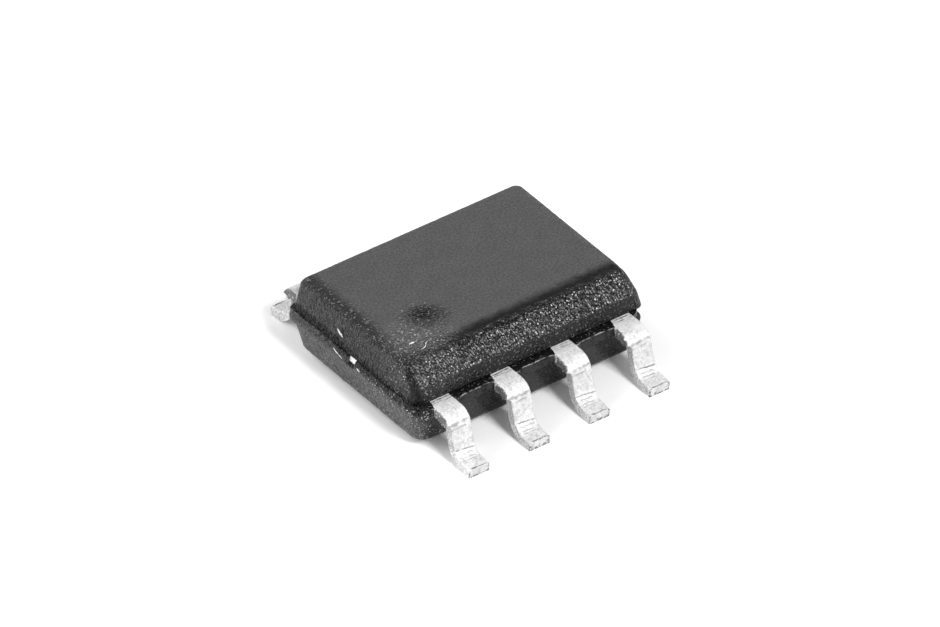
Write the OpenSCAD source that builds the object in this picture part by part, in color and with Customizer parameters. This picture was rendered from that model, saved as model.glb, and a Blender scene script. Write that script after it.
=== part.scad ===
// Eight-lead small-outline chip package with gull-wing leads.
// +Z is up, X runs along the two rows of leads and Y runs across them.
// The origin is the middle of the seating plane. Leads 1 to 4 stand in the row on the -Y side, from
// -X to +X, and leads 5 to 8 stand in the row on the +Y side, from +X back to -X.

/* [Moulded body] */
// Length of both halves where the mould parts
body_length = 4.86; // [4.7:0.02:5.3]
// Width of the upper half where the mould parts
upper_width = 3.74; // [3.6:0.02:3.9]
// Width of the lower half where the mould parts
lower_width = 3.88; // [3.6:0.02:4.0]
// Height of the resin above the lead frame
upper_height = 0.63; // [0.58:0.01:0.9]
// Height of the resin below the lead frame
lower_height = 0.65; // [0.5:0.01:0.75]
// Slope of the walls that lets the body leave its mould, in degrees
draft_angle = 10; // [4:1:12]
// Rounding of the upper edges
upper_rounding = 0.12; // [0.06:0.01:0.13]
// Rounding of the lower edges
lower_rounding = 0.16; // [0.06:0.01:0.2]
// Radius of the upper half's corners, seen from above
upper_corner = 0.14; // [0.14:0.01:0.2]
// Radius of the lower half's corners, seen from above
lower_corner = 0.26; // [0.2:0.01:0.35]
// Height and depth of the chamfer along the pin 1 side
pin1_chamfer = 0.36; // [0.2:0.01:0.4]
// Offset of the lower half of the mould, to the left and to the front
mould_offset = 0.05; // [0:0.01:0.06]

/* [Rim where the mould parts] */
// How far the rim stands out of the lower half along the rows of leads
side_rim = 0.07; // [0.02:0.01:0.08]
// How far the rim stands out of the lower half at the short ends
end_rim = 0.035; // [0.02:0.005:0.08]
// Corner radius of the rim, seen from above
rim_corner = 0.2; // [0.1:0.01:0.3]

/* [Pin 1 dimple] */
// Diameter of the dimple at the top face
dimple_diameter = 0.59; // [0.4:0.01:0.8]
// Depth of the dimple
dimple_depth = 0.05; // [0.03:0.01:0.08]
// Distance of its middle from the short end of the body
dimple_from_end = 1.12; // [0.9:0.01:1.4]
// Distance of its middle from the pin 1 side of the upper half
dimple_from_side = 1.39; // [1.2:0.01:1.6]

/* [Leads] */
// Distance from one lead to the next
pitch = 1.27; // [1.2:0.01:1.3]
// Distance between the tips of opposite leads
lead_span = 6.04; // [5.9:0.02:6.2]
// Thickness of the lead frame
frame_thickness = 0.19; // [0.15:0.01:0.22]
// Gap between the seating plane and the body
standoff = 0.15; // [0.1:0.01:0.25]
// Width of a lead where it leaves the body
exit_width = 0.4; // [0.34:0.01:0.42]
// Width of a lead's leg and foot
foot_width = 0.42; // [0.36:0.01:0.45]
// How far the sheared stub stands out of the left side of a lead
left_stub = 0.055; // [0.02:0.005:0.08]
// How far the sheared stub stands out of the right side of a lead
right_stub = 0; // [0:0.005:0.05]
// Distance from the upper half to the stubs
stub_gap = 0.21; // [0.2:0.01:0.24]
// How far the stubs reach into the first bend, in degrees
stub_angle = 66; // [20:1:70]
// Inner radius of the bend at the shoulder
shoulder_bend = 0.1; // [0.08:0.01:0.13]
// Inner radius of the bend above the foot
foot_bend = 0.29; // [0.24:0.01:0.3]
// Slope of the leg, in degrees below the horizontal
leg_angle = 81; // [76:1:86]
// Slope of the foot, in degrees below the horizontal
foot_angle = 6; // [4:1:8]
// Length of the straight part of the foot
foot_length = 0.19; // [0.1:0.01:0.3]
// Depth of the flat that a toe stands on
toe_flat = 0.008; // [0.005:0.001:0.01]

/* [Lead frame inside] */
// Length of the die pad
pad_length = 2.3; // [2.0:0.02:2.4]
// Width of the die pad
pad_width = 1.9; // [1.7:0.02:2.0]
// Width of the bars that carry the pad at the short ends
tie_bar_width = 0.19; // [0.15:0.01:0.3]
// How far a sheared tie bar stands out of the upper half
tie_bar_stub = 0.01; // [0.005:0.005:0.04]
// Room that the shear left beside the end of a tie bar, where it broke the rim
notch_margin = 0.03; // [0.01:0.01:0.06]
// Gap between the die pad and the inner ends of the leads
pad_gap = 0.2; // [0.18:0.01:0.24]
// Width of the head at the inner end of a middle lead
middle_head = 0.56; // [0.5:0.01:0.6]
// Width of the head at the inner end of an outer lead, which reaches in beside the die
outer_head = 0.9; // [0.8:0.01:1.0]
// Length of the heads
head_length = 0.34; // [0.3:0.01:0.4]

/* [Die] */
// Length of the silicon die
die_length = 1.5; // [1.2:0.02:1.6]
// Width of the silicon die
die_width = 1.2; // [1.0:0.02:1.3]
// Thickness of the silicon die
die_thickness = 0.2; // [0.15:0.01:0.23]
// Thickness of the silver epoxy under the die
epoxy_thickness = 0.03; // [0.02:0.005:0.04]
// How far the epoxy squeezes out around the die
epoxy_margin = 0.06; // [0.03:0.01:0.1]

/* [Bond wires] */
// Diameter of a bond wire
wire_diameter = 0.03; // [0.025:0.001:0.035]
// Height of the loops above the die
loop_height = 0.12; // [0.1:0.01:0.14]
// Distance from the edge of the die to the balls of the bond wires
bond_inset = 0.1; // [0.08:0.01:0.15]

/* [Hidden] */

resin_colour = [0.27, 0.27, 0.27];
tin_colour = [0.86, 0.86, 0.85];
copper_colour = [0.72, 0.45, 0.3];
epoxy_colour = [0.7, 0.7, 0.68];
silicon_colour = [0.36, 0.38, 0.45];
gold_colour = [0.93, 0.75, 0.32];

LEADS_A_SIDE = 4;
LEADS = 2 * LEADS_A_SIDE;
// Sides of the discs and rings that the moulded halves are wrapped around
WRAP_SIDES = 32;
// Sides of the round cuts and bends that stay true curves
ROUND_SIDES = 64;
// Sides of a bond wire
WIRE_SIDES = 8;
// Thickness of the discs that hold a sharp edge of a wrapped half
EDGE_DISC = 0.02;
// Steps round a bend of a lead
BEND_STEPS = 12;
// Size of the blocks that trim a lead's sides and the rim
TRIM = 2;

// Levels, from the seating plane up
frame_bottom = standoff + lower_height;
frame_top = frame_bottom + frame_thickness;
body_top = frame_top + upper_height;
die_bottom = frame_top + epoxy_thickness;
die_top = die_bottom + die_thickness;

rim_length = body_length + 2 * end_rim;
rim_width = lower_width + 2 * side_rim;

// Distance of the sheared ends of the tie bars from the middle of the package
bar_end = body_length / 2 + tie_bar_stub;

dimple_x = dimple_from_end - body_length / 2;
dimple_y = dimple_from_side - upper_width / 2;
dimple_sphere = (pow(dimple_diameter / 2, 2) + pow(dimple_depth, 2)) / (2 * dimple_depth);

// A lead is a bent strip, set out in a plane: u runs outwards from the middle of the package and v
// runs upwards from the seating plane. Its upper surface turns down at the shoulder, runs down the
// leg and turns out again into the foot.
toe_u = lead_span / 2;
toe_v = frame_thickness * cos(foot_angle) - toe_flat;
// Middle of the bend above the foot
bend_u = toe_u - foot_length * cos(foot_angle) + foot_bend * sin(foot_angle);
bend_v = toe_v + foot_length * sin(foot_angle) + foot_bend * cos(foot_angle);
// Middle of the bend at the shoulder, as far in as the leg's slope brings it
shoulder_outer = shoulder_bend + frame_thickness;
shoulder_v = frame_top - shoulder_outer;
leg_length = (shoulder_v - bend_v + (shoulder_outer + foot_bend) * cos(leg_angle)) / sin(leg_angle);
shoulder_u = bend_u - (shoulder_outer + foot_bend) * sin(leg_angle) - leg_length * cos(leg_angle);
// Where the lead leaves the upper half, and where the stubs start
exit_u = upper_width / 2;
stub_u = exit_u + stub_gap;

// Width across both stubs, and how far to the left their middle lies
stub_width = foot_width + left_stub + right_stub;
stub_shift = (left_stub - right_stub) / 2;

// Distance of the inner heads from the middle of the package
head_u = pad_width / 2 + pad_gap;

// Bond wires: the ball on the die, the loop's bend and flat top, and the crushed end on the lead
wire_radius = wire_diameter / 2;
ball_radius = 1.4 * wire_diameter;
ball_height = 0.6 * wire_diameter;
neck_height = 0.9 * wire_diameter;
loop_bend = 2 * wire_diameter;
loop_flat = 4 * wire_diameter;
stitch_half_width = 0.75 * wire_diameter;
stitch_half_length = 1.5 * wire_diameter;

// Leads 1 to 4 count up along the front row, and leads 5 to 8 count back along the rear row.
function is_front(i) = i <= LEADS_A_SIDE;
function column(i) = is_front(i) ? i : LEADS + 1 - i;
function side(i) = is_front(i) ? -1 : 1;
function lead_x(i) = (column(i) - (LEADS_A_SIDE + 1) / 2) * pitch;
function is_outer(i) = column(i) == 1 || column(i) == LEADS_A_SIDE;
function head_width(i) = is_outer(i) ? outer_head : middle_head;
// An outer head keeps its outer edge in line with its lead, and a middle head is centred on it.
function head_x(i) = lead_x(i) - (is_outer(i) ? sign(lead_x(i)) * (outer_head - exit_width) / 2 : 0);

// ---- Moulded body ----

// How far a drafted wall moves in over a height
function drafted(height) = height * tan(draft_angle);

// How far inside the foot of a wall the middle of its upper rounding lies
function rounding_inset(height, rounding) = drafted(height - rounding) + rounding / cos(draft_angle);

// Disc that holds a sharp edge of the given radius at height 0
module edge_disc(radius) {
    cylinder(h = EDGE_DISC, r1 = radius, r2 = radius / 2, $fn = WRAP_SIDES);
}

// Ring that rounds the outer edge of a corner of the given radius
module rounding_ring(radius, rounding) {
    rotate_extrude($fn = WRAP_SIDES)
        intersection() {
            translate([radius - rounding, 0])
                circle(r = rounding, $fn = WRAP_SIDES);
            translate([0, -rounding])
                square([radius, 2 * rounding]);
        }
}

// Corner posts of one half, on the side given by y. Heights count from where the mould parts.
module corner_posts(y, width, height, radius, rounding) {
    inset = rounding_inset(height, rounding) + radius - rounding;
    for (x = [-1, 1]) {
        translate([x * (body_length / 2 - radius), y * (width / 2 - radius), 0])
            edge_disc(radius);
        translate([x * (body_length / 2 - inset), y * (width / 2 - inset), height - rounding])
            rounding_ring(radius, rounding);
    }
}

// Corner posts on the pin 1 side, where a 45 degree chamfer lies between the wall and the top face
module chamfered_posts() {
    wall_height = upper_height - pin1_chamfer;
    wall_inset = drafted(wall_height) + upper_corner;
    end_inset = rounding_inset(upper_height, upper_rounding) + upper_corner - upper_rounding;
    // A rounding that touches both the chamfer and the top face lies this far inside the wall's foot.
    chamfer_inset = drafted(wall_height) + pin1_chamfer + upper_rounding * (sqrt(2) - 1);
    front_inset = chamfer_inset + upper_corner - upper_rounding;
    ring_height = upper_height - upper_rounding;
    for (x = [-1, 1]) {
        translate([x * (body_length / 2 - upper_corner), upper_corner - upper_width / 2, 0])
            edge_disc(upper_corner);
        translate([x * (body_length / 2 - wall_inset), wall_inset - upper_width / 2, wall_height])
            mirror([0, 0, 1])
                edge_disc(upper_corner);
        translate([x * (body_length / 2 - end_inset), front_inset - upper_width / 2, ring_height])
            rounding_ring(upper_corner, upper_rounding);
    }
}

module upper_half() {
    translate([0, 0, frame_top])
        hull() {
            corner_posts(1, upper_width, upper_height, upper_corner, upper_rounding);
            chamfered_posts();
        }
}

module lower_half() {
    translate([-mould_offset, -mould_offset, frame_bottom])
        mirror([0, 0, 1])
            hull()
                for (y = [-1, 1])
                    corner_posts(y, lower_width, lower_height, lower_corner, lower_rounding);
}

module rounded_rectangle(length, width, radius) {
    square([length - 2 * radius, width], center = true);
    square([length, width - 2 * radius], center = true);
    for (x = [-1, 1], y = [-1, 1])
        translate([x * (length / 2 - radius), y * (width / 2 - radius)])
            circle(r = radius, $fn = ROUND_SIDES);
}

// Resin that was squeezed out around the lead frame, between the halves of the mould. The shear that
// cut the tie bars broke it away in front of them.
module rim() {
    notch_width = tie_bar_width + 2 * notch_margin;
    difference() {
        translate([-mould_offset, -mould_offset, frame_bottom])
            linear_extrude(frame_thickness)
                rounded_rectangle(rim_length, rim_width, rim_corner);
        for (x = [-1, 1])
            translate([x * (bar_end + TRIM / 2) - TRIM / 2, -notch_width / 2, frame_bottom])
                cube([TRIM, notch_width, frame_thickness]);
    }
}

module dimple_cut() {
    translate([dimple_x, dimple_y, body_top - dimple_depth + dimple_sphere])
        sphere(r = dimple_sphere, $fn = ROUND_SIDES);
}

module moulded_body() {
    color(resin_colour)
        difference() {
            union() {
                upper_half();
                rim();
                lower_half();
            }
            dimple_cut();
            for (i = [1 : LEADS]) {
                lead_shape(i);
                wire_shape(i);
            }
            pad_shape();
            epoxy_shape();
            die_shape();
        }
}

// ---- Leads ----

// Points round a bend about (u, v), between two angles that count outwards from straight up
function bend(u, v, radius, from, to) = [for (k = [0 : BEND_STEPS])
    let (angle = from + (to - from) * k / BEND_STEPS)
    [u + radius * sin(angle), v + radius * cos(angle)]];

// Side view of a lead: along its upper surface to the toe, and back along its lower surface
module lead_profile() {
    upper = concat(
        [[head_u, frame_top]],
        bend(shoulder_u, shoulder_v, shoulder_outer, 0, leg_angle),
        bend(bend_u, bend_v, foot_bend, 180 + leg_angle, 180 + foot_angle),
        [[toe_u, toe_v]]
    );
    lower = concat(
        [[toe_u - frame_thickness * sin(foot_angle), toe_v - frame_thickness * cos(foot_angle)]],
        bend(bend_u, bend_v, foot_bend + frame_thickness, 180 + foot_angle, 180 + leg_angle),
        bend(shoulder_u, shoulder_v, shoulder_bend, leg_angle, 0),
        [[head_u, frame_bottom]]
    );
    difference() {
        polygon(concat(upper, lower));
        // The flat that the toe stands on
        translate([0, -standoff])
            square([lead_span, standoff]);
    }
}

// What is trimmed off both sides of the strip, to leave the width of the exit and the leg. Between the
// two the stubs stay, from the bar that tied the leads together until it was sheared off.
module side_trims() {
    for (x = [-1, 1]) {
        translate([x * (exit_width + TRIM) / 2 - TRIM / 2, 0, 0])
            cube([TRIM, stub_u, TRIM]);
        translate([x * (foot_width + TRIM) / 2, shoulder_u, shoulder_v])
            rotate([-stub_angle, 0, 0])
                translate([-TRIM / 2, 0, -TRIM])
                    cube([TRIM, TRIM, 2 * TRIM]);
    }
}

module lead_shape(i) {
    translate([lead_x(i), 0, 0])
        mirror([0, is_front(i) ? 1 : 0, 0]) {
            difference() {
                translate([-stub_shift, 0, 0])
                    rotate([90, 0, 90])
                        linear_extrude(stub_width, center = true)
                            lead_profile();
                side_trims();
            }
            // Head that the bond wire lands on
            translate([head_x(i) - lead_x(i) - head_width(i) / 2, head_u, frame_bottom])
                cube([head_width(i), head_length, frame_thickness]);
        }
}

module lead(i) {
    color(tin_colour)
        lead_shape(i);
}

// ---- Die pad and die ----

// Die pad and the two bars that carried it, sheared off just outside the upper half
module pad_shape() {
    translate([-pad_length / 2, -pad_width / 2, frame_bottom])
        cube([pad_length, pad_width, frame_thickness]);
    translate([-bar_end, -tie_bar_width / 2, frame_bottom])
        cube([2 * bar_end, tie_bar_width, frame_thickness]);
}

module die_pad() {
    color(copper_colour)
        pad_shape();
}

module epoxy_shape() {
    translate([0, 0, frame_top])
        linear_extrude(epoxy_thickness)
            rounded_rectangle(die_length + 2 * epoxy_margin, die_width + 2 * epoxy_margin, epoxy_margin);
}

module die_attach() {
    color(epoxy_colour)
        epoxy_shape();
}

module die_shape() {
    translate([-die_length / 2, -die_width / 2, die_bottom])
        cube([die_length, die_width, die_thickness]);
}

module silicon_die() {
    color(silicon_colour)
        die_shape();
}

// ---- Bond wires ----

// Where the ball of wire i stands on the die, and where its other end lands on the lead
function ball_place(i) =
    [(column(i) - (LEADS_A_SIDE + 1) / 2) * (die_length - 2 * bond_inset) / (LEADS_A_SIDE - 1),
     side(i) * (die_width / 2 - bond_inset)];
function stitch_place(i) = [head_x(i), side(i) * (head_u + head_length / 2)];

// Sections of a wire that spans the given length: distance along it, height, turn from straight up,
// half width across the wire and half width along it.
function wire_sections(span) = let (
        loop_top = die_top + loop_height,
        flat_end = loop_bend + loop_flat,
        slope = atan((loop_top - frame_top) / (span - flat_end))
    ) [
        [0, die_top, 0, ball_radius, ball_radius],
        [0, die_top + ball_height, 0, ball_radius, ball_radius],
        [0, die_top + neck_height, 0, wire_radius, wire_radius],
        [0, loop_top - loop_bend, 0, wire_radius, wire_radius],
        [loop_bend * (1 - cos(45)), loop_top - loop_bend * (1 - sin(45)), 45, wire_radius, wire_radius],
        [loop_bend, loop_top, 90, wire_radius, wire_radius],
        [flat_end, loop_top, 90 + slope / 2, wire_radius, wire_radius],
        [span, frame_top, 180, stitch_half_width, stitch_half_length]
    ];

// One point on a section, in the wire's own plane: along it, across it and up
function section_point(section, turn) = [
        section[0] + section[4] * sin(turn) * cos(section[2]),
        section[3] * cos(turn),
        section[1] - section[4] * sin(turn) * sin(section[2])
    ];

module wire_shape(i) {
    way = stitch_place(i) - ball_place(i);
    sections = wire_sections(norm(way));
    last = len(sections) - 1;
    points = [for (section = sections, k = [0 : WIRE_SIDES - 1])
        section_point(section, k * 360 / WIRE_SIDES)];
    sides = [for (s = [0 : last - 1], k = [0 : WIRE_SIDES - 1], half = [0, 1])
        let (
            a = s * WIRE_SIDES + k,
            b = s * WIRE_SIDES + (k + 1) % WIRE_SIDES
        )
        half == 0 ? [a, b, b + WIRE_SIDES] : [a, b + WIRE_SIDES, a + WIRE_SIDES]];
    first_end = [for (k = [WIRE_SIDES - 1 : -1 : 0]) k];
    last_end = [for (k = [0 : WIRE_SIDES - 1]) last * WIRE_SIDES + k];
    translate([ball_place(i)[0], ball_place(i)[1], 0])
        rotate([0, 0, atan2(way[1], way[0])])
            polyhedron(points = points, faces = concat(sides, [first_end, last_end]));
}

module bond_wire(i) {
    color(gold_colour)
        wire_shape(i);
}

moulded_body();
lead(1);  // lead_1
lead(2);  // lead_2
lead(3);  // lead_3
lead(4);  // lead_4
lead(5);  // lead_5
lead(6);  // lead_6
lead(7);  // lead_7
lead(8);  // lead_8
die_pad();
die_attach();
silicon_die();
bond_wire(1);  // bond_wire_1
bond_wire(2);  // bond_wire_2
bond_wire(3);  // bond_wire_3
bond_wire(4);  // bond_wire_4
bond_wire(5);  // bond_wire_5
bond_wire(6);  // bond_wire_6
bond_wire(7);  // bond_wire_7
bond_wire(8);  // bond_wire_8
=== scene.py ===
# %% [markdown]
# # An eight-lead small-outline chip
#
# The chip is a block of black filled epoxy, moulded around a stamped lead frame. Eight leads of
# tinned metal come out of its long sides, bend down and stand on their toes. Inside are the die
# pad, the die and its gold wires.
#
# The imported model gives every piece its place. This script dresses it: the moulded block, the leads
# and the die pad get finer meshes of their own, and everything gets a material. All of it is written
# in metres, so MM turns the sizes of the real thing into scene units.

# %% The frame
import math

import bmesh
import bpy
from mathutils import Matrix, Vector, noise


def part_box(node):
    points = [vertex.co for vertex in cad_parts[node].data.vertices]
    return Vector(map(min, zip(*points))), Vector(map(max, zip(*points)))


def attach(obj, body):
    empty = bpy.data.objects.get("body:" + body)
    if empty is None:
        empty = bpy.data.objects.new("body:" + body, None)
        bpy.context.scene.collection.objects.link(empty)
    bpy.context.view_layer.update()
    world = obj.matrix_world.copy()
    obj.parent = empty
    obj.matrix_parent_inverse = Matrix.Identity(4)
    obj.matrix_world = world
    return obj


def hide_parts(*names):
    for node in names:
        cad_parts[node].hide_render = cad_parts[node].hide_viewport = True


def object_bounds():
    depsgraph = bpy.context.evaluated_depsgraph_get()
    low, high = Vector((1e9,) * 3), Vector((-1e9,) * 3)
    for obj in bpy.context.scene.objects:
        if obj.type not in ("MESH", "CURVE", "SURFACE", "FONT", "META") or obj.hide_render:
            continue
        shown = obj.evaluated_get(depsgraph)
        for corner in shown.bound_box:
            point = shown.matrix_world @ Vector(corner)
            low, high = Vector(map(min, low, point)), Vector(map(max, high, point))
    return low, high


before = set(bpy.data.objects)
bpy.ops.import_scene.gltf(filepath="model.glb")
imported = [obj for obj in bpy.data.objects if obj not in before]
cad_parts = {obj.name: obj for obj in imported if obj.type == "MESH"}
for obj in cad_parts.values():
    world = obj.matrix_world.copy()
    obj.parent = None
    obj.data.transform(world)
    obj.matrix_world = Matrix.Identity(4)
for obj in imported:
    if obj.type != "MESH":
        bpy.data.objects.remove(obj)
MM = 0.001
cad_low, cad_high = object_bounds()
print("CAD box in mm:", [round(v / MM, 3) for v in (*cad_low, *cad_high)])

# %% [markdown]
# ## Levels and outlines
#
# The lead frame is a flat strip before its leads are bent, so the die pad's box gives the level of
# the strip. The moulded block has three parts that differ in outline: the half above the strip, the
# half below it, which the mould left a little to one side, and the rim of resin between the two.

# %% Levels and outlines
pad_low, pad_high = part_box("die_pad")
block_low, block_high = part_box("moulded_body")
STRIP_BOTTOM = pad_low.z
STRIP_TOP = pad_high.z
STRIP = STRIP_TOP - STRIP_BOTTOM

DRAFT = math.tan(math.radians(10))
UPPER_LENGTH = 4.86 * MM
UPPER_WIDTH = 3.74 * MM
UPPER_CORNER = 0.14 * MM
UPPER_ROUNDING = 0.12 * MM
CHAMFER = 0.36 * MM
LOWER_LENGTH = 4.86 * MM
LOWER_WIDTH = 3.88 * MM
LOWER_CORNER = 0.26 * MM
LOWER_ROUNDING = 0.16 * MM
MOULD_OFFSET = Vector((-0.05 * MM, -0.05 * MM, 0))
END_RIM = 0.035 * MM
SIDE_RIM = 0.07 * MM
RIM_CORNER = 0.2 * MM
PITCH = 1.27 * MM
print("strip in mm:", round(STRIP_BOTTOM / MM, 3), "to", round(STRIP_TOP / MM, 3))

# %% [markdown]
# ## Helpers
#
# A moulded half is a tapered block with a rounded outer edge. One way is a cube with bevelled edges,
# but a bevel makes long flat faces that can't take any fine unevenness. Here a finely divided outline
# is extruded level by level instead, and each new ring is scaled to the size that the mould has at
# that level. That gives small even faces all over the walls, and noise can then move their corners.

# %% Helper: an outline with fine edges
GRAIN = 0.026 * MM
CORNER_STEPS = 8


def rounded_outline(bm, length, width, corner):
    """A flat face with round corners, whose straight sides are cut into short edges."""
    bmesh.ops.create_grid(bm, x_segments=1, y_segments=1, size=0.5)
    bmesh.ops.scale(bm, verts=bm.verts, vec=(length, width, 1))
    bmesh.ops.bevel(bm, geom=list(bm.verts), offset=corner, segments=CORNER_STEPS, profile=0.5,
                    affect="VERTICES", material=-1)
    bmesh.ops.delete(bm, geom=bm.faces, context="FACES_ONLY")
    for along in (length, width):
        straight = [e for e in bm.edges if abs(e.calc_length() - (along - 2 * corner)) < 0.01 * MM]
        bmesh.ops.subdivide_edges(bm, edges=straight, cuts=int(along / GRAIN))
    edges = list(bm.edges)
    bmesh.ops.contextual_create(bm, geom=edges)
    return edges


# %% Helper: rings
def box_around(middle, length, width, inset, front=None):
    """Left, right, front and back of an outline that lies inside a given one."""
    front = inset if front is None else front
    x, y = length / 2 - inset, width / 2
    return middle.x - x, middle.x + x, middle.y - y + front, middle.y + y - inset


def fit_ring(bm, verts, box, z):
    """Moves and scales a ring of vertices so that it fills a box (left, right, front, back) at z."""
    left, right, front, back = box
    xs = [v.co.x for v in verts]
    ys = [v.co.y for v in verts]
    middle = Vector(((min(xs) + max(xs)) / 2, (min(ys) + max(ys)) / 2, verts[0].co.z))
    size = Vector(((right - left) / (max(xs) - min(xs)), (back - front) / (max(ys) - min(ys)), 1))
    bmesh.ops.translate(bm, verts=verts, vec=-middle)
    bmesh.ops.scale(bm, verts=verts, vec=size)
    bmesh.ops.translate(bm, verts=verts, vec=((left + right) / 2, (front + back) / 2, z))


def next_ring(bm, edges, box, z):
    """Extrudes a ring of edges and fits the new ring to a box at z."""
    made = bmesh.ops.extrude_edge_only(bm, edges=edges)["geom"]
    fit_ring(bm, [g for g in made if isinstance(g, bmesh.types.BMVert)], box, z)
    return [g for g in made if isinstance(g, bmesh.types.BMEdge)]


# %% Helper: noise
def uneven(point, size, seed):
    """Smooth noise between about -1 and 1, with features of the given size."""
    return noise.noise(Vector(point) / size + Vector((seed * 17.3, seed * 5.1, seed * 9.7)))


def step(value, low, high):
    """Goes smoothly from 0 to 1 while the value goes from low to high."""
    share = min(max((value - low) / (high - low), 0), 1)
    return share * share * (3 - 2 * share)


def bump_at(value, middle, width):
    """A soft hump of height 1 around the middle."""
    return math.exp(-((value - middle) / width) ** 2)


# %% Helper: finishing a mesh
SAME_POINT = 0.0002 * MM


def finish_mesh(bm, name, smooth=True):
    """Turns a bmesh into an object at the origin, with closed seams and outward faces."""
    bmesh.ops.remove_doubles(bm, verts=bm.verts, dist=SAME_POINT)
    bmesh.ops.recalc_face_normals(bm, faces=bm.faces)
    for face in bm.faces:
        face.smooth = smooth
    mesh = bpy.data.meshes.new(name)
    bm.to_mesh(mesh)
    bm.free()
    piece = bpy.data.objects.new(name, mesh)
    bpy.context.scene.collection.objects.link(piece)
    print(name, len(mesh.polygons), "faces")
    return piece

# %% [markdown]
# ## The upper half
#
# The wall leans in by the draft that lets the block leave its mould. Along the side of lead 1 a
# chamfer cuts the edge, so that a person or a camera can tell which way round the chip is. The
# levels are close together where the outline turns over into the top face. The mould's polish is
# worn along the front of the top face, which sinks a little there before it turns into the chamfer.

# %% Insets of the upper half
upper_height = block_high.z - STRIP_TOP
wall_height = upper_height - CHAMFER
ring_height = upper_height - UPPER_ROUNDING
wall_middle = ring_height * DRAFT + UPPER_ROUNDING / math.cos(math.atan(DRAFT))
chamfer_middle = wall_height * DRAFT + CHAMFER + UPPER_ROUNDING * (math.sqrt(2) - 1)


def rounded_inset(middle, height):
    """How far in the rounding of the upper edge lies at a height."""
    rise = min(height - ring_height, UPPER_ROUNDING)
    return middle - math.sqrt(max(UPPER_ROUNDING ** 2 - rise ** 2, 0))


def wall_inset(height):
    """How far in a plain wall lies at a height above the strip."""
    if height > ring_height + UPPER_ROUNDING * math.sin(math.atan(DRAFT)):
        return rounded_inset(wall_middle, height)
    return height * DRAFT


def front_inset(height):
    """How far in the front lies, with its wall, chamfer and rounding."""
    if height > ring_height + UPPER_ROUNDING * math.sin(math.pi / 4):
        return rounded_inset(chamfer_middle, height)
    if height > wall_height:
        return wall_height * DRAFT + height - wall_height
    return height * DRAFT


print("the top face starts in mm:", round(wall_inset(upper_height) / MM, 3), "in from the sides and",
      round(front_inset(upper_height) / MM, 3), "in from the front")

# %% [markdown]
# The pin 1 dimple is a shallow bowl that a round pin in the mould leaves over lead 1. The rings of
# the top face turn from its outline into a circle round the bowl, so that no long thin faces spoil
# the shading, and then go inwards and down along the curve of the bowl.

# %% Levels and rings of the upper half
DIMPLE = Vector((-1.25 * MM, -0.52 * MM, 0))
DIMPLE_RADIUS = 0.42 * MM
DIMPLE_DEPTH = 0.05 * MM
DIMPLE_RINGS = 14
TURNING_RINGS = 6
WALL_LEVELS = 10
TURN_LEVELS = 12
# How far the rings of the top face lie in from its outline, in mm
FACE_RINGS = (0.03, 0.07, 0.12, 0.18, 0.25, 0.33)


def upper_levels():
    """Heights of the rings above the strip: the wall, the chamfer and the rounded edge."""
    slope_height = ring_height - wall_height
    wall = [wall_height * k / WALL_LEVELS for k in range(1, WALL_LEVELS + 1)]
    slope = [wall_height + slope_height * k / TURN_LEVELS for k in range(1, TURN_LEVELS + 1)]
    angles = [math.pi / 2 * k / TURN_LEVELS for k in range(1, TURN_LEVELS + 1)]
    return wall + slope + [ring_height + UPPER_ROUNDING * math.sin(angle) for angle in angles]


print("rings up to the top face:", len(upper_levels()))


# %% The bowl of the dimple
def ring_towards_circle(bm, edges, share):
    """Extrudes a ring and moves each point a share of its way to the edge of the bowl."""
    made = bmesh.ops.extrude_edge_only(bm, edges=edges)["geom"]
    for v in [g for g in made if isinstance(g, bmesh.types.BMVert)]:
        away = (v.co - DIMPLE).to_2d().normalized().to_3d()
        target = DIMPLE + away * DIMPLE_RADIUS + Vector((0, 0, v.co.z))
        v.co = v.co.lerp(target, share)
    return [g for g in made if isinstance(g, bmesh.types.BMEdge)]


def add_dimple(bm, ring):
    """Leads the outline of the top face over into a circle, and lowers the bowl ring by ring."""
    for left in range(TURNING_RINGS, 0, -1):
        ring = ring_towards_circle(bm, ring, 1 / left)
    for k in range(1, DIMPLE_RINGS):
        share = 1 - k / DIMPLE_RINGS
        depth = DIMPLE_DEPTH * (0.5 + 0.5 * math.cos(math.pi * share))
        x, y, radius = DIMPLE.x, DIMPLE.y, DIMPLE_RADIUS * share
        ring = next_ring(bm, ring, (x - radius, x + radius, y - radius, y + radius),
                         block_high.z - depth)
    bmesh.ops.contextual_create(bm, geom=ring)


# %% Build the upper half
def upper_half():
    bm = bmesh.new()
    edges = rounded_outline(bm, UPPER_LENGTH, UPPER_WIDTH, UPPER_CORNER)
    bmesh.ops.translate(bm, verts=bm.verts, vec=(0, 0, STRIP_TOP))
    for height in upper_levels():
        box = box_around(Vector(), UPPER_LENGTH, UPPER_WIDTH, wall_inset(height), front_inset(height))
        edges = next_ring(bm, edges, box, STRIP_TOP + height)
    for more in FACE_RINGS:
        box = box_around(Vector(), UPPER_LENGTH, UPPER_WIDTH, wall_inset(upper_height) + more * MM,
                         front_inset(upper_height) + more * MM)
        edges = next_ring(bm, edges, box, block_high.z)
    add_dimple(bm, edges)
    return bm


# %% Wear of the upper half
FACE_FRONT = front_inset(upper_height) - UPPER_WIDTH / 2
# How far the front of the top face has sunk, and the room that flash takes on it
SINK = 0.022 * MM
SKIN = 0.006 * MM


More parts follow.
